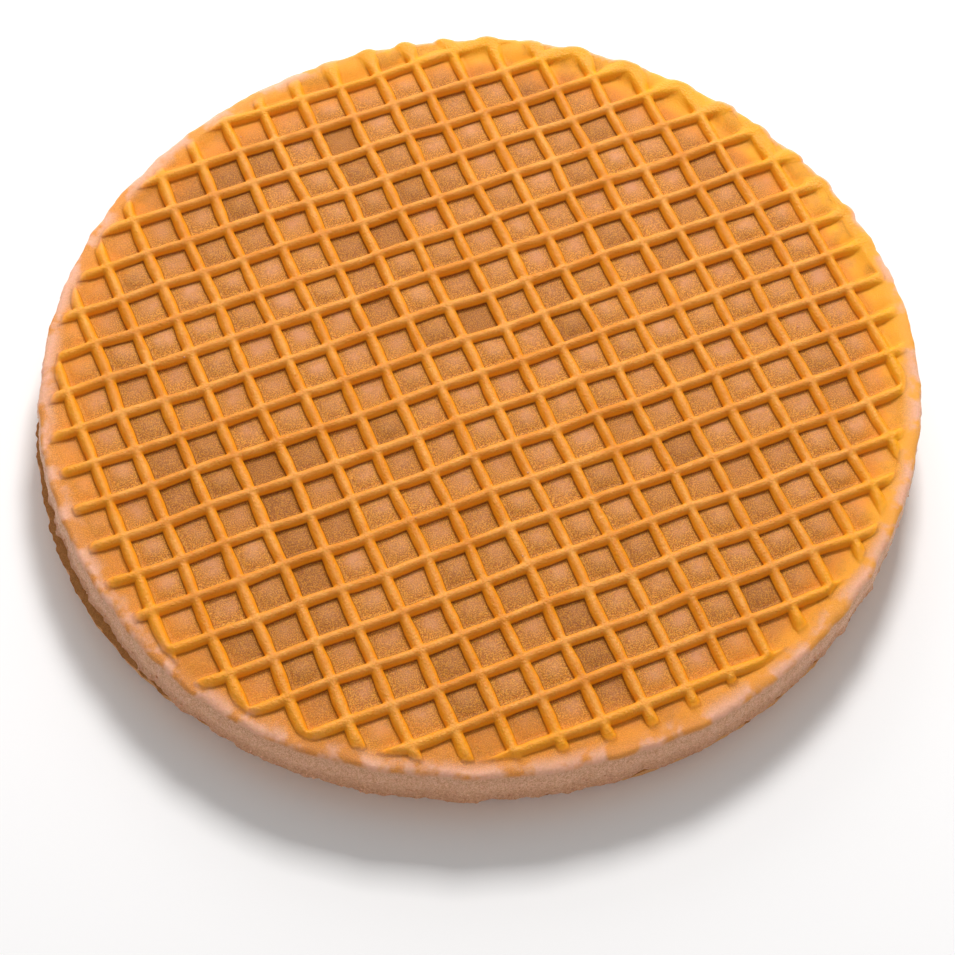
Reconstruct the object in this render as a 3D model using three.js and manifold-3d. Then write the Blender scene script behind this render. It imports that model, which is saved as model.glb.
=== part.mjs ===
import * as THREE from 'three';
import { mergeGeometries, mergeVertices } from 'three/addons/utils/BufferGeometryUtils.js';
import Module from 'manifold-3d';

// A stroopwafel: a thin round waffle split into two halves, with a layer of
// syrup between them. Both outer faces carry the raised square grid of the
// waffle iron. Millimetres, +Z up. The origin is the centre of the underside,
// where the crests of the lower grid rest. The ridges run along X and Y.

// Heights of the layers
const waferThickness = 3.3;
const syrupThickness = 0.6;

// The round outline
const rimRadius = 39.7;
const rimWaves = [
  { turns: 2, height: 0.65, crestAngle: 8 },
  { turns: 3, height: 0.16, crestAngle: 85 },
  { turns: 5, height: 0.12, crestAngle: -10 },
];
const lowerHalfShift = -0.4;
const roundSegments = 80;

// The baked grid
const ridgePitch = 3.95;
const crestWidth = 0.56;
const ridgeFootWidth = 1.2;
const pocketDepth = 0.75;
const floorHalf = (ridgePitch - ridgeFootWidth) / 2;
const crestHalf = (ridgePitch - crestWidth) / 2;
const smallestPocketReach = 1.1;
const upperGridShift = [0.14, 0.22];
const lowerGridShift = [1.3, -0.9];

// The border outside the grid, measured inward from the rim
const crestEndInset = 1.9;
const ridgeFootInset = 1.0;
const borderDrop = 0.04;
const shoulderInset = 0.5;
const shoulderDrop = 0.4;
const bulgeDrop = 1.1;
const cutEdgeInset = 0.45;

// The side where the ridges run on to the rim, seen from above
const longRidgeAngle = 45;
const longRidgeHalfSpan = 60;
const longRidgeFade = 20;
const longRidgeGain = 0.4;

// The syrup layer
const syrupInset = 0.9;
const syrupBulge = 0.35;
const syrupWaves = [
  { turns: 3, height: 0.25, crestAngle: 100 },
  { turns: 7, height: 0.18, crestAngle: 12 },
  { turns: 11, height: 0.12, crestAngle: 5 },
];

// Colours and finishes
const crustColour = 0xdd9244;
const crustRoughness = 0.62;
const syrupColour = 0x8f4a16;
const syrupRoughness = 0.25;

const wasm = await Module();
wasm.setup();

// A closed geometry as a solid, with its shared vertices merged and the
// empty triangles at its poles left out.
function toSolid(geometry) {
  geometry.deleteAttribute('normal');
  geometry.deleteAttribute('uv');
  const merged = mergeVertices(geometry);
  const corners = [];
  const index = merged.index.array;
  for (let i = 0; i < index.length; i += 3) {
    const [a, b, c] = index.slice(i, i + 3);
    if (a !== b && b !== c && c !== a) corners.push(a, b, c);
  }
  return new wasm.Manifold(new wasm.Mesh({
    numProp: 3,
    vertProperties: new Float32Array(merged.attributes.position.array),
    triVerts: new Uint32Array(corners),
  }));
}

function toGeometry(solid) {
  const mesh = solid.getMesh();
  const geometry = new THREE.BufferGeometry();
  geometry.setAttribute('position', new THREE.BufferAttribute(mesh.vertProperties, 3));
  geometry.setIndex(new THREE.BufferAttribute(mesh.triVerts, 1));
  geometry.computeVertexNormals();
  return geometry;
}

// How far an uneven outline lies outside its mean radius at an angle.
function waveHeight(waves, angle) {
  const heights = waves.map(({ turns, height, crestAngle }) => (
    height * Math.cos(turns * (angle - THREE.MathUtils.degToRad(crestAngle)))
  ));
  return heights.reduce((sum, height) => sum + height, 0);
}

// 1 in the middle of the side where the ridges run on, 0 away from it.
function longRidgeShare(angle) {
  const offset = angle - THREE.MathUtils.degToRad(longRidgeAngle);
  const degreesOff = THREE.MathUtils.radToDeg(Math.acos(Math.cos(offset)));
  return 1 - THREE.MathUtils.smoothstep(degreesOff, longRidgeHalfSpan - longRidgeFade, longRidgeHalfSpan);
}

// A disc turned from rings of { radius, height }, with each ring then moved
// outward by a function of its angle.
function unevenDisc(rings, outwardMove) {
  const profile = rings.map(({ radius, height }) => new THREE.Vector2(radius, height));
  const geometry = new THREE.LatheGeometry(profile, roundSegments);
  geometry.rotateX(Math.PI / 2);
  const position = geometry.attributes.position;
  for (let i = 0; i < position.count; i += 1) {
    const ring = rings[i % rings.length];
    if (ring.radius === 0) continue;
    const angle = Math.atan2(position.getY(i), position.getX(i));
    const radius = ring.radius + outwardMove(angle, ring.runsOn);
    position.setXY(i, radius * Math.cos(angle), radius * Math.sin(angle));
  }
  return geometry;
}

// How far the rim, or a ring of it on which the ridges run on, is moved out.
function rimMove(angle, runsOn) {
  return waveHeight(rimWaves, angle) + (runsOn ? longRidgeGain * longRidgeShare(angle) : 0);
}

// One half of the waffle before the pockets are pressed in: the cut face at
// height 0, the side, the border and the plane of the ridge crests.
function waferBlank() {
  const floorHeight = waferThickness - pocketDepth;
  const shoulderHeight = floorHeight - shoulderDrop;
  const rings = [
    { radius: 0, height: 0 },
    { radius: rimRadius - cutEdgeInset, height: 0 },
    { radius: rimRadius, height: floorHeight - bulgeDrop },
    { radius: rimRadius - shoulderInset, height: shoulderHeight },
    { radius: rimRadius - ridgeFootInset, height: floorHeight - borderDrop, runsOn: true },
    { radius: rimRadius - crestEndInset, height: waferThickness, runsOn: true },
    { radius: 0, height: waferThickness },
  ];
  return unevenDisc(rings, rimMove);
}

// The square cut that one tooth of the waffle iron presses: narrow at the
// floor, wide at the crests and on above them.
function pocket(x, y) {
  const overshoot = 0.3;
  const height = pocketDepth + overshoot;
  const topHalf = floorHalf + (crestHalf - floorHalf) * height / pocketDepth;
  const tooth = new THREE.CylinderGeometry(topHalf * Math.SQRT2, floorHalf * Math.SQRT2, height, 4);
  tooth.rotateY(Math.PI / 4);
  tooth.rotateX(Math.PI / 2);
  tooth.translate(x, y, waferThickness - pocketDepth + height / 2);
  return tooth;
}

// Whether a pocket around x, y reaches in under the crests by more than a nick.
function cutsCrests(x, y) {
  const nearest = Math.hypot(Math.abs(x) - crestHalf, Math.abs(y) - crestHalf);
  const crestEnd = rimRadius - crestEndInset + rimMove(Math.atan2(y, x), true);
  return nearest < crestEnd - smallestPocketReach;
}

function allPockets([shiftX, shiftY]) {
  const count = Math.ceil(rimRadius / ridgePitch);
  const pockets = [];
  for (let column = -count; column < count; column += 1) {
    for (let row = -count; row < count; row += 1) {
      const x = (column + 0.5) * ridgePitch + shiftX;
      const y = (row + 0.5) * ridgePitch + shiftY;
      if (cutsCrests(x, y)) pockets.push(pocket(x, y));
    }
  }
  return mergeGeometries(pockets);
}

function waferHalf(gridShift) {
  const blank = toSolid(waferBlank());
  const pockets = toSolid(allPockets(gridShift));
  return blank.subtract(pockets);
}

function crustMaterial() {
  return new THREE.MeshStandardMaterial({
    color: crustColour,
    roughness: crustRoughness,
    metalness: 0,
  });
}

function topWafer() {
  const mesh = new THREE.Mesh(toGeometry(waferHalf(upperGridShift)), crustMaterial());
  mesh.name = 'top_wafer';
  mesh.position.z = waferThickness + syrupThickness;
  return mesh;
}

// The lower half is the mirror image of the upper one, so that the two have the
// same outline and its grid faces down.
function bottomWafer() {
  const solid = waferHalf(lowerGridShift).mirror([0, 0, 1]);
  const mesh = new THREE.Mesh(toGeometry(solid), crustMaterial());
  mesh.name = 'bottom_wafer';
  mesh.position.set(lowerHalfShift, 0, waferThickness);
  return mesh;
}

// The syrup, squeezed out unevenly between the cut faces, with a round edge.
function syrupLayer() {
  const radius = rimRadius - syrupInset;
  const rings = [
    { radius: 0, height: 0 },
    { radius: radius - syrupBulge, height: 0 },
    { radius, height: syrupThickness / 2 },
    { radius: radius - syrupBulge, height: syrupThickness },
    { radius: 0, height: syrupThickness },
  ];
  const waves = [...rimWaves, ...syrupWaves];
  const disc = unevenDisc(rings, (angle) => waveHeight(waves, angle));
  const mesh = new THREE.Mesh(toGeometry(toSolid(disc)), new THREE.MeshStandardMaterial({
    color: syrupColour,
    roughness: syrupRoughness,
    metalness: 0,
  }));
  mesh.name = 'syrup';
  mesh.position.z = waferThickness;
  return mesh;
}

const stroopwafel = new THREE.Group();
stroopwafel.add(bottomWafer(), syrupLayer(), topWafer());

export default stroopwafel;
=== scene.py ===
# %% [markdown]
# # A stroopwafel, finished
#
# A stroopwafel is one thin waffle, split flat into two halves and put back
# together with warm syrup between them. Both outer faces carry the square grid
# of the waffle iron. This lesson dresses the plain solids of the frame: each
# half gets a fine mesh with soft ridges, grainy pockets and a crumbly cut side,
# the syrup gets a wavy glossy edge, and the finishes are built from noise.

import bmesh
import bpy
import math
import random
from mathutils import Matrix, Vector, noise


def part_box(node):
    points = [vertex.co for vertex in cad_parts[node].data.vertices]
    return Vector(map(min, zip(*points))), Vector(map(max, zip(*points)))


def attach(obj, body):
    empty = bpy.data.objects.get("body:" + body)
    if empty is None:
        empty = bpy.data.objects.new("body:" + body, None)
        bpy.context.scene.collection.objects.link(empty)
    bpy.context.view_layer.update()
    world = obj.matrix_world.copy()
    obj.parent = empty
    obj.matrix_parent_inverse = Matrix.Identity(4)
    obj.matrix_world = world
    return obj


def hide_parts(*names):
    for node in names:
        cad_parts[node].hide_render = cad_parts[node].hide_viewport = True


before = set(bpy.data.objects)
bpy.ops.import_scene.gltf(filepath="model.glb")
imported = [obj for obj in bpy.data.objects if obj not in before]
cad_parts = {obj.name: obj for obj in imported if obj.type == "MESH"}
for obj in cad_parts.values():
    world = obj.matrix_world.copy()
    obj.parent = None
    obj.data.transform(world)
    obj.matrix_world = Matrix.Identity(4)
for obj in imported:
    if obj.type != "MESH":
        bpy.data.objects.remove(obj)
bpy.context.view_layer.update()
print("nodes in the frame:", sorted(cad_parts))

# %% [markdown]
# ## The camera
#
# The waffle lies flat and the camera looks down on it from the front left. A
# camera could be placed by eye, but here the ridges were used as a ruler: they
# are evenly spaced and square to each other, so where they cross tells where
# the camera stood and how long its lens was. All its distances are counted in
# ridge pitches, which are then turned into metres.

# %% Place the camera
MM = 0.001
RIDGE_PITCH = 3.95 * MM
CREST_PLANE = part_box("top_wafer")[1].z
CAMERA_PITCHES = Vector((-13.26, -27.14, 47.35))
CAMERA_RIGHT = Vector((0.921, -0.3881, 0.0338))
CAMERA_UP = Vector((0.3205, 0.8042, 0.5005))
CAMERA_LENS = 92.0


def add_camera():
    """A camera that stands at its measured place above the crest plane."""
    lens = bpy.data.cameras.new("camera")
    lens.lens = CAMERA_LENS
    lens.clip_start = 10 * MM
    camera = bpy.data.objects.new("camera", lens)
    bpy.context.scene.collection.objects.link(camera)
    back = CAMERA_RIGHT.cross(CAMERA_UP).normalized()
    up = back.cross(CAMERA_RIGHT).normalized()
    right = up.cross(back)
    turn = Matrix((right, up, back)).transposed()
    place = CAMERA_PITCHES * RIDGE_PITCH + Vector((0, 0, CREST_PLANE))
    camera.matrix_world = Matrix.Translation(place) @ turn.to_4x4()
    bpy.context.scene.camera = camera
    return camera


camera = add_camera()
print("camera at (mm):", [round(1000 * c) for c in camera.matrix_world.translation])

# %% [markdown]
# ## Light and floor
#
# Baked relief shows best when the light comes from behind: each ridge then has
# a bright far edge and a warm dark near wall. A soft panel behind gives that. A
# second one, low and wide, lies further back and only grazes the far edges. A
# pale sky all round keeps the shadows open, and a white floor throws light back
# at the cut side.

# %% Set the light and the floor
SKY_STRENGTH = 0.44
KEY_POWER = 1.26
KEY_PLACE = Vector((0.135, 0.22, 0.288))
KEY_SIZE = 0.096
BACK_POWER = 1.4
BACK_PLACE = Vector((0.12, 0.66, 0.26))
BACK_SIZE = 0.4
FLOOR_REACH = 3.0


def add_panel(name, place, size, power, colour):
    """A square light panel that faces the waffle."""
    panel = bpy.data.lights.new(name, "AREA")
    panel.energy = power
    panel.size = size
    panel.color = colour
    light = bpy.data.objects.new(name, panel)
    light.location = place
    light.rotation_mode = "QUATERNION"
    light.rotation_quaternion = place.to_track_quat("Z", "Y")
    bpy.context.scene.collection.objects.link(light)


def add_sky():
    """A plain pale world."""
    world = bpy.data.worlds.new("pale_sky")
    world.use_nodes = True
    background = world.node_tree.nodes["Background"]
    background.inputs["Color"].default_value = (1.0, 1.0, 1.0, 1.0)
    background.inputs["Strength"].default_value = SKY_STRENGTH
    bpy.context.scene.world = world


def add_floor():
    """A wide white floor at the height that the waffle rests on."""
    bm = bmesh.new()
    bmesh.ops.create_grid(bm, x_segments=1, y_segments=1, size=FLOOR_REACH)
    mesh = bpy.data.meshes.new("floor")
    bm.to_mesh(mesh)
    bm.free()
    floor = bpy.data.objects.new("floor", mesh)
    bpy.context.scene.collection.objects.link(floor)
    paint = bpy.data.materials.new("white_floor")
    paint.use_nodes = True
    shader = paint.node_tree.nodes["Principled BSDF"]
    shader.inputs["Base Color"].default_value = (0.98, 0.98, 0.98, 1.0)
    shader.inputs["Roughness"].default_value = 0.9
    mesh.materials.append(paint)


add_sky()
add_panel("key_panel", KEY_PLACE, KEY_SIZE, KEY_POWER, (1.0, 0.98, 0.97))
add_panel("back_panel", BACK_PLACE, BACK_SIZE, BACK_POWER, (1.0, 0.95, 0.98))
add_floor()
bpy.context.scene.view_settings.view_transform = "Standard"
print("floor reaches", FLOOR_REACH, "m each way")

# %% [markdown]
# ## The round outline
#
# The waffle is cut round while it is still soft, so it is a little uneven: a
# few slow waves run round the rim. On one side the cutter met the ridges before
# they faded, and each ridge end sticks out there like a small tooth. The
# outline could be drawn by hand, but a mean radius with three waves says the
# same in three lines, and any point can ask for the rim at its own angle.

# %% Describe the rim
RIM_RADIUS = 39.7 * MM
RIM_WAVES = ((2, 0.65 * MM, 8), (3, 0.16 * MM, 85), (5, 0.12 * MM, -10))
RIM_ROUGHNESS = 0.16 * MM
TOOTH_FLARE = 1.7
TOOTH_VARIETY = 0.9
TOOTH_LEVEL = 0.4
SHORT_TOOTH_SHARE = 0.25
LONG_RIDGE_ANGLE = 45
LONG_RIDGE_HALF_SPAN = 60
LONG_RIDGE_FADE = 25


def smooth_step(value, low, high):
    """0 below low, 1 above high, and an even turn between them."""
    share = min(max((value - low) / (high - low), 0.0), 1.0)
    return share * share * (3 - 2 * share)


def wave_height(waves, angle):
    """How far an uneven outline lies outside its mean radius."""
    return sum(height * math.cos(turns * (angle - math.radians(crest)))
               for turns, height, crest in waves)


def long_ridge_share(angle):
    """1 on the side where the ridges run on to the rim, 0 away from it."""
    away = abs((math.degrees(angle) - LONG_RIDGE_ANGLE + 180) % 360 - 180)
    return 1 - smooth_step(away, LONG_RIDGE_HALF_SPAN - LONG_RIDGE_FADE, LONG_RIDGE_HALF_SPAN)


print("long ridges at 45 and 180 degrees:",
      long_ridge_share(math.radians(45)), long_ridge_share(math.pi))

# %% [markdown]
# ## The baked ridges
#
# Each tooth of the waffle iron presses a square pocket and leaves the dough
# between the teeth as a ridge. The ridges could be bevelled boxes, but dough is
# soft: their crests are round, their walls lean, and only the foot is crisp,
# where the tooth's edge pressed. A curve of the kind 1 - x squared, raised to a
# power, has just that section. Two such sections, one for each direction, are
# joined so that the pocket's corners are filled a little. The ridges of one
# direction run through at full height, and the others meet them a little lower.

# %% Describe a ridge
POCKET_DEPTH = 0.75 * MM
RIDGE_HALF = 0.15
CREST_FULLNESS = 2.0
WALL_STEEPNESS = 0.68
CORNER_FILL = 0.35
FLOOR_DOME = 0.26 * MM
LOWER_RIDGE_SHARE = 0.92
# Where the painted sheen of the lights sits on each floor, and how far it reaches.
BLOOM_PLACE = (0.12, 0.36)
BLOOM_REACH = 0.95


def sway(x, y, scale, seed):
    """Slow unevenness between about -1 and 1, at a scale in metres."""
    return noise.noise(Vector((x / scale, y / scale, seed)))


def pitch_place(place, shift):
    """The signed distance to the nearest ridge, and the pocket's number."""
    pitches = (place - shift) / RIDGE_PITCH
    return pitches - round(pitches), math.floor(pitches)


def ridge_section(distance):
    """Height of a ridge, 0 to 1, at a distance from its middle in pitches."""
    share = min(abs(distance) / RIDGE_HALF, 1.0)
    return (1 - share ** CREST_FULLNESS) ** WALL_STEEPNESS


def join_ridges(first, second):
    """Two crossing ridges as one height, with the corner between them filled."""
    high, low = max(first, second), min(first, second)
    return high + CORNER_FILL * low * (1 - high)


def from_middle(near):
    """The signed distance from the pocket's middle, 1 at its wall."""
    return (near - math.copysign(0.5, near)) / (0.5 - RIDGE_HALF)


def floor_dome(near_x, near_y):
    """How far a floor bulges, 1 in the pocket's middle and 0 at its walls."""
    across, along = from_middle(near_x), from_middle(near_y)
    return max(1 - across ** 2, 0.0) * max(1 - along ** 2, 0.0)


def floor_bloom(near_x, near_y):
    """The painted sheen of the lights on a floor: strongest a little off its middle, towards them.
    """
    across = from_middle(near_x) - BLOOM_PLACE[0]
    along = from_middle(near_y) - BLOOM_PLACE[1]
    return max(1 - (across ** 2 + along ** 2) / BLOOM_REACH ** 2, 0.0)


print("section at crest, wall and foot:",
      [round(ridge_section(d), 2) for d in (0.0, 0.07, 0.12, 0.15)])

# %% [markdown]
# ## The border
#
# Outside the grid the iron pressed a plain border. On one side it is nearly as
# high as the ridges, and these run over it, growing wider, out to the rim; on
# the other it lies little above the floors and the ridges end in round noses.
# Right at the rim the surface turns over into the cut side. The border is a
# blend over the distance from the rim, so one function serves all the way
# round. The same distance says where the crust is golden and where pinkish.

# %% Describe the border
BORDER_START = 2.6 * MM
BORDER_SLOPE = 1.5 * MM
BORDER_MEAN = 0.46
BORDER_SWING = 0.3
HIGH_BORDER_ANGLE = 20
RIDGE_END = 0.85 * MM
RIDGE_END_SLOPE = 0.8 * MM
RIDGE_END_SWAY = 0.35 * MM
LONG_RIDGE_GAIN = 1.6
WIDE_BORDER_ANGLE = -70
WIDE_BORDER_GAIN = 0.7 * MM
FLARE = 0.7
FLARE_REACH = 2.6 * MM
ROLL_WIDTH = 0.38 * MM
ROLL_DROP = 0.2 * MM
ROLL_CURVE = 2.2
GOLD_ANGLE = 20
GOLD_REACH = 6.5 * MM
LEAST_GOLD = 0.5
PINK_REACH = 1.8 * MM
SHORT_PINK_REACH = 0.5 * MM


def border_level(angle):
    """How high the border stands between the floors, 0, and the crests, 1."""
    return BORDER_MEAN + BORDER_SWING * math.cos(angle - math.radians(HIGH_BORDER_ANGLE))


def ridge_end(angle):
    """How far in from the rim the ridges have sunk into the border."""
    wide = max(math.cos(angle - math.radians(WIDE_BORDER_ANGLE)), 0.0) ** 2
    return RIDGE_END * (1 - LONG_RIDGE_GAIN * long_ridge_share(angle)) + WIDE_BORDER_GAIN * wide


def flare(inward, angle):
    """How much wider a ridge is near the rim where it runs on to it."""
    near_rim = 1 - smooth_step(inward, 0.0, FLARE_REACH)
    return 1 + FLARE * near_rim * long_ridge_share(angle)


def roll_drop(inward):
    """How far the surface has rolled down at a distance in from the rim."""
    left = 1 - min(max(inward, 0.0) / ROLL_WIDTH, 1.0)
    return ROLL_DROP * left ** ROLL_CURVE


def rim_tones(inward, angle):
    """How golden and how pinkish the crust may be, each 0 to 1."""
    golden_side = 0.5 + 0.5 * math.cos(angle - math.radians(GOLD_ANGLE))
    near_rim = 1 - smooth_step(inward, 0.3 * GOLD_REACH, GOLD_REACH)
    gold = (LEAST_GOLD + (1 - LEAST_GOLD) * golden_side) * near_rim
    reach = PINK_REACH + (SHORT_PINK_REACH - PINK_REACH) * long_ridge_share(angle)
    return gold, 1 - smooth_step(inward, 0.1 * reach, reach)


print("border level at 20 and 200 degrees:",
      round(border_level(math.radians(20)), 2), round(border_level(math.radians(200)), 2))

# %% [markdown]
# ## One half of the waffle
#
# The ridges, the floors and the border now come together. A half keeps its own
# shift of the grid and its own seed, so the two halves aren't copies of each
# other. A point of the flat sheet isn't only lifted but also slid a little
# sideways: this lets the ridges sway and swell while the lines of the sheet
# stay on their feet. Besides the new place the half answers with what the
# finish asks for: how much of a ridge the point is on, how much painted sheen
# of the lights its floor gets, and the tones of the rim.

# %% Put the relief together
LINE_SWAY = 0.26 * MM
EDGE_SWAY = 0.035 * MM
SWELL = 0.14
WAISTS = (0.26, 0.08)
WAIST_PLACE = 0.3
POCKET_UNEVENNESS = 0.07 * MM
FLOOR_ROUGHNESS = 0.03 * MM
LEAST_DOME = 0.6
DOME_VARIETY = 0.8
LOOSE_FROM = 1.5 * MM
CREST_UNEVENNESS = 0.04 * MM
CREST_ROUGHNESS = 0.028 * MM


class Half:
    """What tells one half of the waffle from the other."""

    def __init__(self, name, shift, seed, thickness, tooth_reach, crumb_depth, flat_side):
        self.name = name
        self.shift = shift
        self.seed = seed
        self.thickness = thickness
        self.tooth_reach = tooth_reach
        self.crumb_depth = crumb_depth
        self.flat_side = flat_side  # how deep, at what angle and over how many degrees

    def rim(self, angle):
        """The radius of the rim at an angle, with its waves and teeth."""
        radius = RIM_RADIUS + wave_height(RIM_WAVES, angle)
        x, y = radius * math.cos(angle), radius * math.sin(angle)
        near_x = pitch_place(x, self.shift[0])[0] / TOOTH_FLARE
        near_y = pitch_place(y, self.shift[1])[0] / TOOTH_FLARE
        teeth = (ridge_section(near_y) * math.cos(angle) ** 2
                 + ridge_section(near_x) * math.sin(angle) ** 2)
        teeth *= 1 + TOOTH_VARIETY * sway(x, y, 4 * MM, self.seed + 41)
        run_on = SHORT_TOOTH_SHARE + (1 - SHORT_TOOTH_SHARE) * long_ridge_share(angle)
        radius += self.tooth_reach * run_on * (teeth - TOOTH_LEVEL)
        depth, middle, span = self.flat_side
        away = (math.degrees(angle) - middle + 180) % 360 - 180
        radius -= depth * math.exp(-(away / span) ** 2)
        rough = sway(x, y, 2.2 * MM, self.seed) + 0.5 * sway(x, y, 0.8 * MM, self.seed)
        return radius + RIM_ROUGHNESS * rough

    def floor(self, x, y, near_x, near_y, pocket):
        """The height of a pocket's floor, with its dome and its unevenness."""
        dome = FLOOR_DOME * (LEAST_DOME + DOME_VARIETY * pocket) * floor_dome(near_x, near_y)
        uneven = POCKET_UNEVENNESS * (pocket - 0.5)
        rough = FLOOR_ROUGHNESS * sway(x, y, 0.9 * MM, self.seed + 17)
        return -POCKET_DEPTH + dome + uneven + rough

    def crest(self, x, y):
        """The height of a ridge's crest, never above the frame's."""
        uneven = CREST_UNEVENNESS * sway(x, y, 4 * MM, self.seed + 19)
        rough = CREST_ROUGHNESS * sway(x, y, 0.7 * MM, self.seed + 23)
        return uneven + rough - 0.8 * (CREST_UNEVENNESS + CREST_ROUGHNESS)

    def slide(self, x, y, near, far, waist, seed):
        """How far a point beside a ridge is slid sideways by its sway and swell."""
        line = LINE_SWAY * sway(x, y, 7 * MM, seed) + EDGE_SWAY * sway(x, y, 0.9 * MM, seed + 2)
        width = SWELL * sway(x, y, 3 * MM, seed + 1) + waist * (abs(far) - WAIST_PLACE)
        fade = 1 - smooth_step(abs(near), RIDGE_HALF, 0.5)
        return line + near * RIDGE_PITCH * width * fade

    def press(self, x, y):
        """Where a point of the sheet goes, and the notes that it carries."""
        angle = math.atan2(y, x)
        inward = self.rim(angle) - math.hypot(x, y)
        near_x, column = pitch_place(x, self.shift[0])
        near_y, row = pitch_place(y, self.shift[1])
        wider = flare(inward, angle)
        ridge = join_ridges(LOWER_RIDGE_SHARE * ridge_section(near_x / wider),
                            ridge_section(near_y / wider))
        pocket = noise.cell(Vector((column + 0.5, row + 0.5, self.seed)))
        floor = self.floor(x, y, near_x, near_y, pocket)
        border = 1 - smooth_step(inward, BORDER_START - BORDER_SLOPE, BORDER_START)
        floor += border * (-POCKET_DEPTH * (1 - border_level(angle)) - floor)
        end = ridge_end(angle) + RIDGE_END_SWAY * sway(x, y, 2.5 * MM, self.seed + 29)
        ridge *= smooth_step(inward, end, end + RIDGE_END_SLOPE)
        height = floor + (self.crest(x, y) - floor) * ridge - roll_drop(inward)
        loose = smooth_step(inward, 0.0, LOOSE_FROM)
        slide_x = loose * self.slide(x, y, near_x, near_y, WAISTS[0], self.seed + 3)
        slide_y = loose * self.slide(x, y, near_y, near_x, WAISTS[1], self.seed + 7)
        gold, pink = rim_tones(inward, angle)
        # painted sheen of the lights on each floor, none on the border
        bloom = floor_bloom(near_x, near_y) * (1 - border)
        notes = {"ridge": ridge, "bloom": bloom, "gold": gold, "pink": pink}
        return Vector((x + slide_x, y + slide_y, height)), notes


TOP_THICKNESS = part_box("top_wafer")[1].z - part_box("top_wafer")[0].z
BOTTOM_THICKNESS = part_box("bottom_wafer")[1].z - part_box("bottom_wafer")[0].z
top_half = Half("top_wafer_crust", (0.14 * MM, 0.22 * MM), 1.3, TOP_THICKNESS,
                tooth_reach=0.32 * MM, crumb_depth=0.11 * MM, flat_side=(0.8 * MM, 192, 20))
bottom_half = Half("bottom_wafer_crust", (1.3 * MM, -0.9 * MM), 41.7, BOTTOM_THICKNESS,
                   tooth_reach=0.0, crumb_depth=0.05 * MM, flat_side=(1.2 * MM, 225, 38))
print("height at a crossing and in a pocket (mm):",
      round(1000 * top_half.press(0.14 * MM, 0.22 * MM)[0].z, 2),
      round(1000 * top_half.press(2.1 * MM, 2.2 * MM)[0].z, 2))

# %% [markdown]
# ## A sheet of dough with lines where the ridges are
#
# The face starts as a flat grid of squares. An even grid would waste faces on
# the floors and be too coarse on the ridges, so its lines are moved: in each
# pitch there are sixteen, close together over the ridge and wide apart over the
# floor. The faces outside the rim are cut away, and what is left of the last
# squares is pulled in on to the rim, as a round cutter does.

# %% Cut a round sheet
LINE_PLACES = (0.0, 0.045, 0.085, 0.12, 0.144, 0.162, 0.24, 0.36,
               0.5, 0.64, 0.76, 0.838, 0.856, 0.88, 0.915, 0.955)
PITCHES_OUT = 11
RIM_EASING = 0.5 * MM
EASING_ROUNDS = 12


def line_place(number, shift):
    """Where a line of the sheet lies, counted from the middle ridge."""
    pitch, line = divmod(number, len(LINE_PLACES))
    return (pitch + LINE_PLACES[line]) * RIDGE_PITCH + shift


def square_sheet(half):
    """A flat square sheet whose lines crowd over the ridges."""
    bm = bmesh.new()
    lines_out = PITCHES_OUT * len(LINE_PLACES)
    bmesh.ops.create_grid(bm, x_segments=2 * lines_out, y_segments=2 * lines_out, size=lines_out)
    for vert in bm.verts:
        vert.co.x = line_place(round(vert.co.x), half.shift[0])
        vert.co.y = line_place(round(vert.co.y), half.shift[1])
    return bm


def on_rim(co, half):
    """The point of the rim at the angle of a point."""
    angle = math.atan2(co.y, co.x)
    radius = half.rim(angle)
    return Vector((radius * math.cos(angle), radius * math.sin(angle), 0.0))


def cut_round(bm, half):
    """Deletes what lies outside the rim and pulls the last squares in to it."""
    outside = {}
    for vert in bm.verts:
        place = on_rim(vert.co, half)
        if vert.co.xy.length > place.length:
            outside[vert] = place
    waste = [face for face in bm.faces if all(vert in outside for vert in face.verts)]
    bmesh.ops.delete(bm, geom=waste, context="FACES")
    for vert, place in outside.items():
        if vert.is_valid:
            vert.co = place


def rim_edges(bm):
    """The open edges of the sheet."""
    return [edge for edge in bm.edges if edge.is_boundary]


def even_out_rim(bm, half):
    """Spaces the rim's points evenly and eases the squares next to them."""
    rim = {vert for edge in rim_edges(bm) for vert in edge.verts}
    near = [vert for vert in bm.verts if vert not in rim
            and on_rim(vert.co, half).length - vert.co.xy.length < RIM_EASING]
    for _ in range(EASING_ROUNDS):
        middles = {}
        for vert in rim:
            ends = [edge.other_vert(vert).co for edge in vert.link_edges if edge.is_boundary]
            middles[vert] = (ends[0] + ends[1]) / 2
        for vert, middle in middles.items():
            vert.co = on_rim(middle, half)
        bmesh.ops.smooth_vert(bm, verts=near, factor=0.5, use_axis_x=True, use_axis_y=True)


def round_sheet(half):
    """The flat round sheet that one half is pressed from."""
    bm = square_sheet(half)
    cut_round(bm, half)
    even_out_rim(bm, half)
    print(half.name, "sheet:", len(bm.faces), "faces,", len(rim_edges(bm)), "edges on the rim")
    return bm


top_sheet = round_sheet(top_half)
bottom_sheet = round_sheet(bottom_half)

# %% [markdown]
# ## Pressing the relief and growing the side
#
# Now the sheet is pressed: each point goes to its place. The cut side could be
# a separate band, but a seam would show, so it grows out of the rim: the open
# edge is extruded again and again, each ring a little lower. Each point of the
# rim notes where it started, and the extrusion hands that note on. The side
# bulges a little and is crumbly, because the cutter tears the soft inside of
# the waffle, and on one side it leans out. The lower edge is the most ragged.

# %% Press and close one half
SIDE_RINGS = 10
SIDE_BULGE = 0.12 * MM
BULGE_END = 0.6
SIDE_DRAW_IN = 0.16 * MM
RAGGED_DEPTH = 0.22 * MM
SLANT = 1.25 * MM
SLANT_ANGLE = 240
CUT_FACE_RINGS = (0.985, 0.5)


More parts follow.
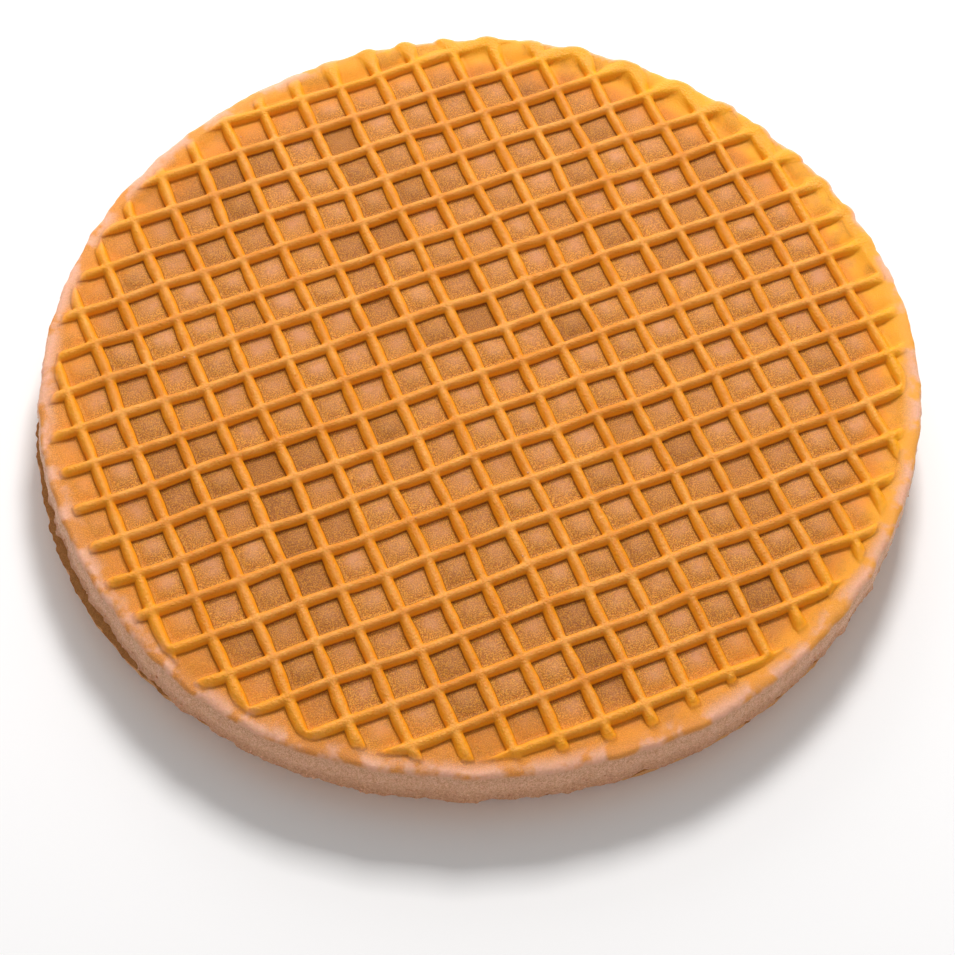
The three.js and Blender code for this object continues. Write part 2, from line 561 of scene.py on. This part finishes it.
def press_relief(bm, half):
    """Moves the sheet to its places and notes what the finish will ask for."""
    layers = {name: bm.verts.layers.float.new(name) for name in ("ridge", "bloom", "gold", "pink")}
    for vert in bm.verts:
        vert.co, notes = half.press(vert.co.x, vert.co.y)
        for name, layer in layers.items():
            vert[layer] = notes[name]


def grow_ring(bm, edges):
    """Extrudes an open ring; answers with the new edges and points."""
    grown = bmesh.ops.extrude_edge_only(bm, edges=edges)["geom"]
    new_edges = [part for part in grown if isinstance(part, bmesh.types.BMEdge)]
    new_verts = [part for part in grown if isinstance(part, bmesh.types.BMVert)]
    return new_edges, new_verts


def lumps(point, size, seed):
    """Noise between about -1 and 1 in all three directions, at a size."""
    return noise.noise(point / size + Vector((0, 0, seed)))


def slant(angle):
    """How far the cut leans out on the side where the cutter stood askew."""
    return SLANT * max(math.cos(angle - math.radians(SLANT_ANGLE)), 0.0)


def side_place(start, down, half):
    """Where a point of the rim comes to lie when it has gone down by a share."""
    height = start.z + (-half.thickness - start.z) * down
    point = Vector((start.x, start.y, height))
    bulge = SIDE_BULGE * math.sin(math.pi * min(down / BULGE_END, 1.0))
    draw_in = SIDE_DRAW_IN * smooth_step(down, 0.4, 1.0)
    crumb = lumps(point, 0.4 * MM, half.seed) + 0.7 * lumps(point, 1.3 * MM, half.seed)
    edge = Vector((start.x, start.y, 0.0))
    ragged = lumps(edge, 0.8 * MM, half.seed + 31) + 0.6 * lumps(edge, 3 * MM, half.seed + 37)
    outward = bulge - draw_in + half.crumb_depth * crumb * smooth_step(down, 0.0, 0.25)
    outward += RAGGED_DEPTH * ragged * down ** 3 + slant(math.atan2(start.y, start.x)) * down
    point.z += 0.5 * RAGGED_DEPTH * ragged * down ** 2 * (1 - down)
    return point + outward * edge.normalized()


def grow_side(bm, half):
    """Grows the cut side down from the rim, ring by ring."""
    start_note = bm.verts.layers.float_vector.new("start")
    side_note = bm.verts.layers.float.new("side")
    for vert in bm.verts:
        vert[start_note] = vert.co
    edges = rim_edges(bm)
    for ring in range(1, SIDE_RINGS + 1):
        down = ring / SIDE_RINGS
        edges, verts = grow_ring(bm, edges)
        for vert in verts:
            vert.co = side_place(Vector(vert[start_note]), down, half)
            vert[side_note] = down
    bm.verts.layers.float_vector.remove(start_note)
    return edges


def close_cut_face(bm, edges, half):
    """Closes the face that lies on the syrup, in rings towards the middle."""
    for share in CUT_FACE_RINGS:
        edges, verts = grow_ring(bm, edges)
        for vert in verts:
            vert.co = (*(vert.co.xy.normalized() * RIM_RADIUS * share), -half.thickness)
    middle = list({vert for edge in edges for vert in edge.verts})
    bmesh.ops.pointmerge(bm, verts=middle, merge_co=(0, 0, -half.thickness))


def finish_mesh(bm, name):
    """Turns all faces outward, shades them smooth and makes an object."""
    bmesh.ops.recalc_face_normals(bm, faces=bm.faces)
    for face in bm.faces:
        face.smooth = True
    mesh = bpy.data.meshes.new(name)
    bm.to_mesh(mesh)
    bm.free()
    piece = bpy.data.objects.new(name, mesh)
    bpy.context.scene.collection.objects.link(piece)
    triangles = sum(len(face.vertices) - 2 for face in mesh.polygons)
    print(name, "has", triangles, "triangles")
    return piece


def press_half(bm, half):
    """One closed half with its crests at height 0, ready to be put in place."""
    press_relief(bm, half)
    edges = grow_side(bm, half)
    close_cut_face(bm, edges, half)


press_half(top_sheet, top_half)
press_half(bottom_sheet, bottom_half)

# %% [markdown]
# ## Putting the halves in place
#
# Both halves were made with their crests up and at height 0. The upper one is
# lifted to the frame's crest plane. The lower one is flipped to face down, which
# keeps its outline under the upper one's, and slid a little to the left, as the
# frame has it, because the halves are seldom put together exactly. The mesh is
# moved rather than the object, so that each object stays at the origin and its
# finish doesn't slide.

# %% Place both halves
LOWER_SHIFT = -0.4 * MM

bmesh.ops.translate(top_sheet, verts=top_sheet.verts, vec=(0, 0, CREST_PLANE))
bmesh.ops.scale(bottom_sheet, verts=bottom_sheet.verts, vec=(1, 1, -1))
bmesh.ops.translate(bottom_sheet, verts=bottom_sheet.verts, vec=(LOWER_SHIFT, 0, 0))
top_wafer = finish_mesh(top_sheet, top_half.name)
bottom_wafer = finish_mesh(bottom_sheet, bottom_half.name)

# %% [markdown]
# ## The syrup
#
# The syrup was spread warm and pressed flat, so its edge creeps out unevenly:
# mostly it stays a little inside the wafers, and here and there it bulges to
# the rim. It starts as a flat drum whose side is cut into rings, and each point
# of the side is then moved to a round and wavy section. It reaches a hair into
# both cut faces, so that no gap shows.

# %% Make the syrup
SYRUP_INSET = 0.45 * MM
SYRUP_BULGE = 0.3 * MM
SYRUP_CREEP = 0.45 * MM
SYRUP_RIPPLE = 0.28 * MM
SYRUP_LUMPS = 0.1 * MM
SYRUP_POINTS = 900
SYRUP_RINGS = 8
SYRUP_GRIP = 0.06 * MM


def syrup_reach(angle):
    """How far the syrup reaches at an angle."""
    x, y = math.cos(angle), math.sin(angle)
    creep = SYRUP_CREEP * noise.noise(Vector((x * 4.5, y * 4.5, 5.0)))
    creep += SYRUP_RIPPLE * noise.noise(Vector((x * 14, y * 14, 8.0)))
    return top_half.rim(angle) - SYRUP_INSET + 0.5 * slant(angle) + creep


def syrup_place(co, rise, bottom, top):
    """A point of the syrup's edge at a share of the way up."""
    angle = math.atan2(co.y, co.x)
    round_off = SYRUP_BULGE * (1 - math.sin(math.pi * rise))
    lump = SYRUP_LUMPS * noise.noise(Vector((co.x / MM, co.y / MM, 3 * rise)))
    radius = syrup_reach(angle) - round_off + lump
    height = bottom + (top - bottom) * rise
    return Vector((radius * math.cos(angle), radius * math.sin(angle), height))


def make_syrup():
    """The syrup as a closed disc with a rounded wavy edge."""
    low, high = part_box("syrup")
    bottom, top = low.z - SYRUP_GRIP, high.z + SYRUP_GRIP
    bm = bmesh.new()
    bmesh.ops.create_cone(bm, segments=SYRUP_POINTS, radius1=RIM_RADIUS, radius2=RIM_RADIUS,
                          depth=top - bottom, cap_ends=True, cap_tris=True)
    upright = [edge for edge in bm.edges if abs(edge.verts[0].co.z - edge.verts[1].co.z) > 0]
    bmesh.ops.subdivide_edges(bm, edges=upright, cuts=SYRUP_RINGS - 1)
    for vert in bm.verts:
        rise = vert.co.z / (top - bottom) + 0.5
        if vert.co.xy.length > RIM_RADIUS / 2:
            vert.co = syrup_place(vert.co, rise, bottom, top)
        else:
            vert.co.z = bottom + (top - bottom) * rise
    return finish_mesh(bm, "syrup_layer")


syrup = make_syrup()

# %% [markdown]
# ## Loose crumbs
#
# The cutter leaves crumbs that cling to the ragged edge, and a few lie on the
# grid. They could be scattered by particles, but those don't leave Blender with
# the model, so each is a small lump in one shared mesh. A seeded random draw
# puts them in the same places every time.

# %% Scatter the crumbs
EDGE_CRUMBS = 260
FACE_CRUMBS = 12
CRUMB_SEED = 7
SMALLEST_CRUMB = 0.07 * MM
LARGEST_CRUMB = 0.17 * MM


def add_crumb(bm, place, size, draw):
    """One small lump, stretched and turned at random."""
    turn = Matrix.Rotation(draw.uniform(0, math.tau), 4, draw_direction(draw))
    stretch = Matrix.Diagonal((1.0, draw.uniform(0.6, 1.0), draw.uniform(0.5, 0.9), 1.0))
    bmesh.ops.create_icosphere(
        bm, subdivisions=1, radius=size, matrix=Matrix.Translation(place) @ turn @ stretch)


def draw_direction(draw):
    """A random direction."""
    return Vector([draw.gauss(0, 1) for _ in range(3)]).normalized()


def scatter_crumbs():
    """Crumbs along the cut side of the upper half, and a few on its face."""
    draw = random.Random(CRUMB_SEED)
    bm = bmesh.new()
    for _ in range(EDGE_CRUMBS):
        angle = draw.uniform(0, math.tau)
        rim = top_half.rim(angle)
        down = draw.uniform(0.55, 1.0)
        start = Vector((rim * math.cos(angle), rim * math.sin(angle), -POCKET_DEPTH))
        place = side_place(start, down, top_half) + Vector((0, 0, CREST_PLANE))
        add_crumb(bm, place, draw.uniform(SMALLEST_CRUMB, LARGEST_CRUMB), draw)
    for _ in range(FACE_CRUMBS):
        angle = draw.uniform(0, math.tau)
        radius = 0.95 * RIM_RADIUS * math.sqrt(draw.random())
        x, y = radius * math.cos(angle), radius * math.sin(angle)
        size = draw.uniform(SMALLEST_CRUMB, 0.7 * LARGEST_CRUMB)
        place = top_half.press(x, y)[0] + Vector((0, 0, CREST_PLANE + 0.3 * size))
        add_crumb(bm, place, size, draw)
    return finish_mesh(bm, "clinging_crumbs")


crumbs = scatter_crumbs()

# %% [markdown]
# ## Grain that every finish shares
#
# Baked dough is never one colour. Under a lens it is a fine grain of light and
# dark specks, with slower patches where the iron was hotter. The crust, the cut
# side and the crumbs all have it at their own scale, so it is a node group that
# is built once. It puts out two masks and a height; each finish decides what
# colours to mix with them.

# %% Build the grain group
GRAIN_OUTPUTS = ("Specks", "Patches", "Height")


def add_node(tree, kind, place, **settings):
    """A node of a kind, at a place in the editor, with its settings."""
    node = tree.nodes.new(kind)
    node.location = place
    for name, value in settings.items():
        setattr(node, name, value)
    return node


def add_noise(tree, place, scale, detail, roughness):
    """A noise texture with its numbers set."""
    node = add_node(tree, "ShaderNodeTexNoise", place)
    node.inputs["Scale"].default_value = scale
    node.inputs["Detail"].default_value = detail
    node.inputs["Roughness"].default_value = roughness
    return node


def add_range(tree, place, source, low, high, to_low=0.0, to_high=1.0):
    """Maps a value from one range to another, with smooth ends."""
    node = add_node(tree, "ShaderNodeMapRange", place, interpolation_type="SMOOTHSTEP")
    tree.links.new(source, node.inputs["Value"])
    node.inputs["From Min"].default_value = low
    node.inputs["From Max"].default_value = high
    node.inputs["To Min"].default_value = to_low
    node.inputs["To Max"].default_value = to_high
    return node.outputs["Result"]


def add_math(tree, place, operation, first, second):
    """A math node between two sources, each a socket or a number."""
    node = add_node(tree, "ShaderNodeMath", place, operation=operation)
    for socket, source in zip(node.inputs, (first, second)):
        if isinstance(source, (int, float)):
            socket.default_value = source
        else:
            tree.links.new(source, socket)
    return node.outputs["Value"]


def add_mix(tree, place, share, first, second, blend="MIX"):
    """A colour mix; each colour is a socket or three numbers."""
    node = add_node(tree, "ShaderNodeMix", place, data_type="RGBA", blend_type=blend)
    for name, source in (("Factor_Float", share), ("A_Color", first), ("B_Color", second)):
        socket = next(entry for entry in node.inputs if entry.identifier == name)
        if isinstance(source, tuple):
            socket.default_value = (*source, 1.0)
        elif isinstance(source, (int, float)):
            socket.default_value = source
        else:
            tree.links.new(source, socket)
    return next(entry for entry in node.outputs if entry.identifier == "Result_Color")


def build_grain_group():
    """Fine specks, slow patches and a height, at a chosen grain size."""
    group = bpy.data.node_groups.new("baked_grain", "ShaderNodeTree")
    group.interface.new_socket("Vector", in_out="INPUT", socket_type="NodeSocketVector")
    group.interface.new_socket("Grains per metre", in_out="INPUT", socket_type="NodeSocketFloat")
    for name in GRAIN_OUTPUTS:
        group.interface.new_socket(name, in_out="OUTPUT", socket_type="NodeSocketFloat")
    inside = add_node(group, "NodeGroupInput", (-900, 0))
    outside = add_node(group, "NodeGroupOutput", (400, 0))
    fine = add_noise(group, (-600, 200), 1.0, 3.0, 0.65)
    patch = add_noise(group, (-600, -200), 1.0, 3.0, 0.55)
    group.links.new(inside.outputs["Vector"], fine.inputs["Vector"])
    group.links.new(inside.outputs["Vector"], patch.inputs["Vector"])
    group.links.new(inside.outputs["Grains per metre"], fine.inputs["Scale"])
    slow = add_math(group, (-750, -300), "MULTIPLY", inside.outputs["Grains per metre"], 0.085)
    group.links.new(slow, patch.inputs["Scale"])
    specks = add_range(group, (-300, 200), fine.outputs["Fac"], 0.34, 0.66)
    patches = add_range(group, (-300, -200), patch.outputs["Fac"], 0.32, 0.68)
    group.links.new(specks, outside.inputs["Specks"])
    group.links.new(patches, outside.inputs["Patches"])
    group.links.new(fine.outputs["Fac"], outside.inputs["Height"])
    return group


grain_group = build_grain_group()
print("grain group puts out:", GRAIN_OUTPUTS)

# %% [markdown]
# ## The crust
#
# The crests touched the iron only lightly and stay a clear orange. The walls
# are painted a deeper, brighter orange: a painted glow of the light that goes
# in at one side and leaves at the other. Where a wall meets the floor, a thin
# painted shade darkens the crease. The floors are browner and grainier, and no
# two pockets are quite the same tone; each floor also gets a painted pinkish
# sheen of the lights, a little off its middle towards them. Towards the rim the
# crust turns golden, then pinkish, in patches, and the cut side shows the paler
# inside of the waffle, darker towards the syrup. The mesh carries notes that say
# how much of a ridge a point is on, how much painted sheen its floor gets, how
# golden and pinkish it may be, and how far down the side it lies. Both halves
# are baked alike, so the crust is a node group as well, which takes the notes
# and the grain; only the colours of the cut side are each half's own.

# %% Make the crust
FLOOR_LIGHT = (0.86, 0.37, 0.030)
FLOOR_DARK = (0.41, 0.130, 0.006)
# painted pinkish sheen of the lights on the floors
FLOOR_PINK = (0.73, 0.32, 0.15)
FLOOR_BROWN = (0.72, 0.66, 0.30)
# painted shade for the crease at the foot of the ridges
FOOT_BROWN = (0.62, 0.48, 0.35)
# painted glow of light passing through the thin walls
WALL_ORANGE = (1.0, 0.35, 0.004)
CREST_LIGHT = (0.90, 0.385, 0.062)
CREST_DEEP = (0.76, 0.26, 0.016)
BORDER_GOLD = (1.0, 0.41, 0.008)
BORDER_ORANGE = (0.94, 0.31, 0.012)
RIM_PINK = (0.95, 0.51, 0.34)
SIDE_LIGHT = (0.98, 0.58, 0.38)
SIDE_DARK = (0.60, 0.26, 0.11)
SIDE_SHADE = (0.76, 0.68, 0.60)
LOWER_SIDE_LIGHT = (0.88, 0.43, 0.13)
LOWER_SIDE_DARK = (0.58, 0.23, 0.046)
FINE_GRAINS = 9600.0
COARSE_GRAINS = 4200.0
CRUST_NOTES = ("ridge", "bloom", "gold", "pink", "side")


def new_finish(name):
    """A new material with its tree, its shader and its object coordinates."""
    finish = bpy.data.materials.new(name)
    finish.use_nodes = True
    tree = finish.node_tree
    shader = tree.nodes["Principled BSDF"]
    shader.location = (900, 0)
    tree.nodes["Material Output"].location = (1200, 0)
    coordinates = add_node(tree, "ShaderNodeTexCoord", (-1800, 0)).outputs["Object"]
    return finish, tree, shader, coordinates


def add_grain(tree, place, coordinates, grains):
    """The shared grain at a number of grains per metre."""
    node = add_node(tree, "ShaderNodeGroup", place, node_tree=grain_group)
    node.inputs["Grains per metre"].default_value = grains
    tree.links.new(coordinates, node.inputs["Vector"])
    return node.outputs


def read_note(tree, place, name):
    """A value that the mesh carries."""
    return add_node(tree, "ShaderNodeAttribute", place, attribute_name=name).outputs["Fac"]


def add_mix_value(tree, place, share, first, second):
    """A mix of two values."""
    node = add_node(tree, "ShaderNodeMix", place, data_type="FLOAT")
    node.inputs["Factor"].default_value = share
    tree.links.new(first, node.inputs["A"])
    tree.links.new(second, node.inputs["B"])
    return node.outputs["Result"]


def pocket_tone(tree, coordinates, shift):
    """A value that is the same all over one pocket: partly its own, partly its region's."""
    pitches = add_node(tree, "ShaderNodeMapping", (-1600, -500), vector_type="TEXTURE")
    pitches.inputs["Scale"].default_value = (RIDGE_PITCH, RIDGE_PITCH, 1.0)
    tree.links.new(shift, pitches.inputs["Location"])
    tree.links.new(coordinates, pitches.inputs["Vector"])
    whole = add_node(tree, "ShaderNodeVectorMath", (-1400, -500), operation="FLOOR")
    tree.links.new(pitches.outputs["Vector"], whole.inputs[0])
    tone = add_node(tree, "ShaderNodeTexWhiteNoise", (-1200, -500), noise_dimensions="2D")
    tree.links.new(whole.outputs["Vector"], tone.inputs["Vector"])
    slow = add_noise(tree, (-1200, -650), 0.22, 1.0, 0.5)
    tree.links.new(whole.outputs["Vector"], slow.inputs["Vector"])
    region = add_range(tree, (-1050, -650), slow.outputs["Fac"], 0.3, 0.7)
    return add_mix_value(tree, (-900, -600), 0.45, tone.outputs["Value"], region)


def floor_colour(tree, grain, bloom, tone):
    """Grainy brown and gold, browner in some pockets, with a painted pinkish sheen of the lights.
    """
    sparse = add_range(tree, (-1200, 300), grain["Specks"], 0.2, 1.0)
    colour = add_mix(tree, (-1000, 300), sparse, FLOOR_DARK, FLOOR_LIGHT)
    brownness = add_range(tree, (-1100, 150), tone, 0.62, 0.1)
    colour = add_mix(tree, (-900, 250), brownness, colour, FLOOR_BROWN, "MULTIPLY")
    # painted pinkish sheen of the lights, stronger in some pockets and patches
    pinkness = add_range(tree, (-1100, 0), tone, 0.1, 0.9, 0.2, 0.9)
    patchy = add_range(tree, (-1100, -150), grain["Patches"], 0.0, 1.0, 0.5, 1.0)
    pinkness = add_math(tree, (-1000, 0), "MULTIPLY", pinkness, patchy)
    pinkness = add_math(tree, (-900, 0), "MULTIPLY", pinkness, bloom)
    return add_mix(tree, (-800, 200), pinkness, colour, FLOOR_PINK)


def ridge_colour(tree, floor, ridge, coarse):
    """The floor's colour below with a painted shade at the foot, a painted glow of deep orange up
    the wall, and the crest.
    """
    crest = add_mix(tree, (-800, -100), coarse["Patches"], CREST_LIGHT, CREST_DEEP)
    speckle = add_range(tree, (-900, -100), coarse["Specks"], 0.0, 1.0, 0.0, 0.4)
    crest = add_mix(tree, (-700, -100), speckle, crest, CREST_DEEP)
    on_wall = add_range(tree, (-900, -200), ridge, 0.12, 0.4)
    on_crest = add_range(tree, (-900, -350), ridge, 0.45, 0.95)
    # painted shade in the crease at each ridge's foot
    at_foot = add_range(tree, (-900, -500), ridge, 0.0, 0.08)
    floor = add_mix(tree, (-650, 100), at_foot, floor, FOOT_BROWN, "MULTIPLY")
    # painted glow: the walls a brighter, deeper orange, as if lit through
    colour = add_mix(tree, (-550, 100), on_wall, floor, WALL_ORANGE)
    return add_mix(tree, (-400, 100), on_crest, colour, crest)


def border_colour(tree, inner, ridge, gold, pink, coarse):
    """Golden near the rim, orange further in, and pinkish at the rim in patches."""
    patchy = add_range(tree, (-700, -650), coarse["Patches"], 0.0, 0.7, 0.6, 1.0)
    near_rim = add_range(tree, (-700, -800), gold, 0.55, 0.95)
    bright = add_math(tree, (-600, -800), "MAXIMUM", ridge, near_rim)
    golden = add_mix(tree, (-500, -300), bright, BORDER_ORANGE, BORDER_GOLD)
    amount = add_math(tree, (-500, -450), "MULTIPLY", gold, patchy)
    colour = add_mix(tree, (-200, 100), amount, inner, golden)
    patchy = add_range(tree, (-500, -750), coarse["Patches"], 0.8, 0.2, 0.15, 0.95)
    amount = add_math(tree, (-300, -550), "MULTIPLY", pink, patchy)
    speckle = add_range(tree, (-300, -700), coarse["Specks"], 0.0, 1.0, 0.0, 0.22)
    pinkish = add_mix(tree, (-200, -300), speckle, RIM_PINK, SIDE_DARK)
    return add_mix(tree, (0, 100), amount, colour, pinkish)


def side_colour(tree, side, fine, coarse, light, dark):
    """Grainy light and dark, darker towards the syrup."""
    mixed = add_mix_value(tree, (-200, -300), 0.6, coarse["Specks"], fine["Specks"])
    crumb = add_mix(tree, (0, -200), mixed, dark, light)
    low_down = add_range(tree, (0, -300), side, 0.25, 1.0)
    return add_mix(tree, (150, -200), low_down, crumb, SIDE_SHADE, "MULTIPLY")


def grain_height(tree, ridge, fine, coarse):
    """Fine grain, weaker on the ridges, and coarse lumps on the ridges alone."""
    smoother = add_range(tree, (300, -600), ridge, 0.1, 0.9, 1.0, 0.5)
    fine_height = add_math(tree, (400, -500), "MULTIPLY", fine["Height"], smoother)
    lumpier = add_math(tree, (300, -800), "MULTIPLY", ridge, 2.2)
    lump_height = add_math(tree, (400, -700), "MULTIPLY", coarse["Height"], lumpier)
    return add_math(tree, (500, -600), "ADD", fine_height, lump_height)


def add_crust_sockets(group):
    """The named inputs and outputs of the crust group."""
    notes = [note.capitalize() for note in CRUST_NOTES]
    grains = [size + " " + name for size in ("Fine", "Coarse") for name in GRAIN_OUTPUTS]
    for names, way, kind in ((["Vector", "Shift"], "INPUT", "NodeSocketVector"),
                             (grains + notes, "INPUT", "NodeSocketFloat"),
                             (["Side light", "Side dark"], "INPUT", "NodeSocketColor"),
                             (["Colour"], "OUTPUT", "NodeSocketColor"),
                             (["Roughness", "Height"], "OUTPUT", "NodeSocketFloat")):
        for name in names:
            group.interface.new_socket(name, in_out=way, socket_type=kind)


def build_crust_group():
    """Ridges, floors, border and cut side, from the notes and the grain."""
    group = bpy.data.node_groups.new("waffle_crust", "ShaderNodeTree")
    add_crust_sockets(group)
    given = add_node(group, "NodeGroupInput", (-2000, 0)).outputs
    fine, coarse = ({name: given[size + " " + name] for name in GRAIN_OUTPUTS}
                    for size in ("Fine", "Coarse"))
    tone = pocket_tone(group, given["Vector"], given["Shift"])
    floor = floor_colour(group, fine, given["Bloom"], tone)
    colour = ridge_colour(group, floor, given["Ridge"], coarse)
    colour = border_colour(group, colour, given["Ridge"], given["Gold"], given["Pink"], coarse)
    crumb = side_colour(group, given["Side"], fine, coarse,
                        given["Side light"], given["Side dark"])
    on_side = add_range(group, (0, -400), given["Side"], 0.0, 0.1)
    colour = add_mix(group, (300, 100), on_side, colour, crumb)
    roughness = add_range(group, (300, -200), given["Ridge"], 0.1, 0.9, 0.46, 0.36)
    height = grain_height(group, given["Ridge"], fine, coarse)
    outside = add_node(group, "NodeGroupOutput", (800, 0)).inputs
    for name, source in (("Colour", colour), ("Roughness", roughness), ("Height", height)):
        group.links.new(source, outside[name])
    return group


def make_crust(half, shift, side_light, side_dark):
    """The finish of one half: the shared crust with this half's shift and side colours."""
    finish, tree, shader, coordinates = new_finish(half.name + "_finish")
    crust = add_node(tree, "ShaderNodeGroup", (300, 0), node_tree=crust_group)
    tree.links.new(coordinates, crust.inputs["Vector"])
    crust.inputs["Shift"].default_value = (*shift, 0.0)
    crust.inputs["Side light"].default_value = (*side_light, 1.0)
    crust.inputs["Side dark"].default_value = (*side_dark, 1.0)
    for size, grains, place in (("Fine", FINE_GRAINS, (-300, 300)),
                                ("Coarse", COARSE_GRAINS, (-300, 0))):
        grain = add_grain(tree, place, coordinates, grains)
        for name in GRAIN_OUTPUTS:
            tree.links.new(grain[name], crust.inputs[size + " " + name])
    for row, note in enumerate(CRUST_NOTES):
        source = read_note(tree, (-300, -300 - 200 * row), note)
        tree.links.new(source, crust.inputs[note.capitalize()])
    tree.links.new(crust.outputs["Colour"], shader.inputs["Base Color"])
    tree.links.new(crust.outputs["Roughness"], shader.inputs["Roughness"])
    bump = add_node(tree, "ShaderNodeBump", (600, -400))
    bump.inputs["Strength"].default_value = 0.8
    bump.inputs["Distance"].default_value = 0.09 * MM
    tree.links.new(crust.outputs["Height"], bump.inputs["Height"])
    tree.links.new(bump.outputs["Normal"], shader.inputs["Normal"])
    shader.inputs["Specular IOR Level"].default_value = 0.3
    shader.inputs["Subsurface Weight"].default_value = 0.25
    shader.inputs["Subsurface Radius"].default_value = (1.0, 0.35, 0.1)
    shader.inputs["Subsurface Scale"].default_value = 0.35 * MM
    return finish


crust_group = build_crust_group()
bottom_shift = (bottom_half.shift[0] + LOWER_SHIFT, bottom_half.shift[1])
top_wafer.data.materials.append(
    make_crust(top_half, top_half.shift, SIDE_LIGHT, SIDE_DARK))
bottom_wafer.data.materials.append(
    make_crust(bottom_half, bottom_shift, LOWER_SIDE_LIGHT, LOWER_SIDE_DARK))
print("crust on", top_wafer.name, "and", bottom_wafer.name)

# %% [markdown]
# ## Syrup and crumbs
#
# The syrup is dark, smooth and glossy, a little lighter where it is thin. The
# crumbs have the colours of the cut side, because that is where they broke off.

# %% Finish the syrup and the crumbs
SYRUP_DEEP = (0.36, 0.10, 0.010)
SYRUP_THIN = (0.62, 0.24, 0.035)
SYRUP_GRAINS = 1800.0


def make_syrup_finish():
    """Dark amber with slow clouds and a clear gloss."""
    finish, tree, shader, coordinates = new_finish("syrup_finish")
    clouds = add_grain(tree, (-900, 0), coordinates, SYRUP_GRAINS)
    colour = add_mix(tree, (-300, 0), clouds["Patches"], SYRUP_DEEP, SYRUP_THIN)
    tree.links.new(colour, shader.inputs["Base Color"])
    roughness = add_range(tree, (-300, -300), clouds["Patches"], 0.0, 1.0, 0.16, 0.3)
    tree.links.new(roughness, shader.inputs["Roughness"])
    shader.inputs["Coat Weight"].default_value = 0.5
    shader.inputs["Coat Roughness"].default_value = 0.08
    return finish


def make_crumb_finish():
    """The pale and dark grain of the waffle's inside."""
    finish, tree, shader, coordinates = new_finish("crumb_finish")
    grain = add_grain(tree, (-900, 0), coordinates, COARSE_GRAINS)
    colour = add_mix(tree, (-300, 0), grain["Specks"], SIDE_DARK, SIDE_LIGHT)
    tree.links.new(colour, shader.inputs["Base Color"])
    roughness = add_range(tree, (-300, -300), grain["Specks"], 0.0, 1.0, 0.7, 0.85)
    tree.links.new(roughness, shader.inputs["Roughness"])
    return finish


syrup.data.materials.append(make_syrup_finish())
crumbs.data.materials.append(make_crumb_finish())

# %% [markdown]
# ## Handing the pieces to the frame
#
# Each piece rides on the frame's one body and stands for the plain solid that
# it replaces. The crumbs stand for nothing: they are extra.

# %% Join the pieces to the frame
for piece, node, slot in ((top_wafer, "top_wafer", "top_crust"),
                          (syrup, "syrup", "syrup"),
                          (bottom_wafer, "bottom_wafer", "bottom_crust")):
    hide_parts(node)
    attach(piece, "root")
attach(crumbs, "root")
